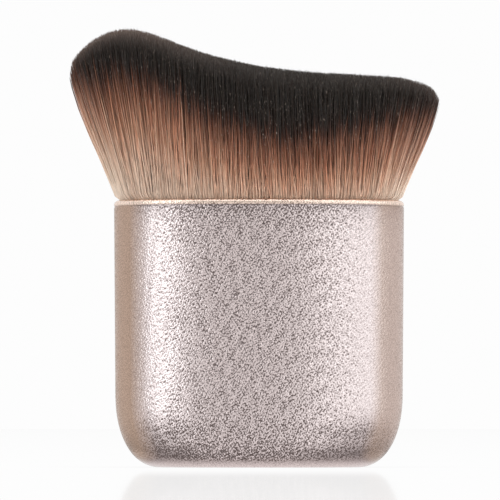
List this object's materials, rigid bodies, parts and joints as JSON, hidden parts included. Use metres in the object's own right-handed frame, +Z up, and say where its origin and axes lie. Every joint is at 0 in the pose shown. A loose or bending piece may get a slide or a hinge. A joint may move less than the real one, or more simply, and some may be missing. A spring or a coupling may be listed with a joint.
{
  "type": "body makeup brush",
  "caption": "Wide, flat-handled makeup brush with a pebbled metal cup for a handle and a dense, slant-cut knot of soft two-tone fibres, for spreading powder or cream on the body.",
  "frame": {"origin": "centre of the flat base that the brush stands on", "axes": "+Z up towards the fibre tips, +X across the wide front to the side where the crown is low, -Y out of the pictured front"},
  "size_m": [0.0726, 0.034, 0.087],
  "materials": {
    "handle_metal": "champagne metal with a fine pebbled surface",
    "pad_foam": "matte foam",
    "ballast_steel": "plain steel",
    "core_plastic": "moulded, matte",
    "knot_plastic": "moulded, satin",
    "glue": "hardened resin",
    "bristle_fibre": "soft fibres, pale beige at the root, reddish brown in the middle, near-black at the tip"
  },
  "bodies": {
    "root": {"handle_cup": "handle_metal", "base_pad": "pad_foam", "ballast_plate": "ballast_steel", "core_block": "core_plastic", "knot_cup": "knot_plastic", "glue_bed": "glue", "bristle_bundle_1": "bristle_fibre", "bristle_bundle_2": "bristle_fibre", "bristle_bundle_3": "bristle_fibre", "bristle_bundle_4": "bristle_fibre", "bristle_bundle_5": "bristle_fibre", "bristle_bundle_6": "bristle_fibre"}
  },
  "joints": []
}
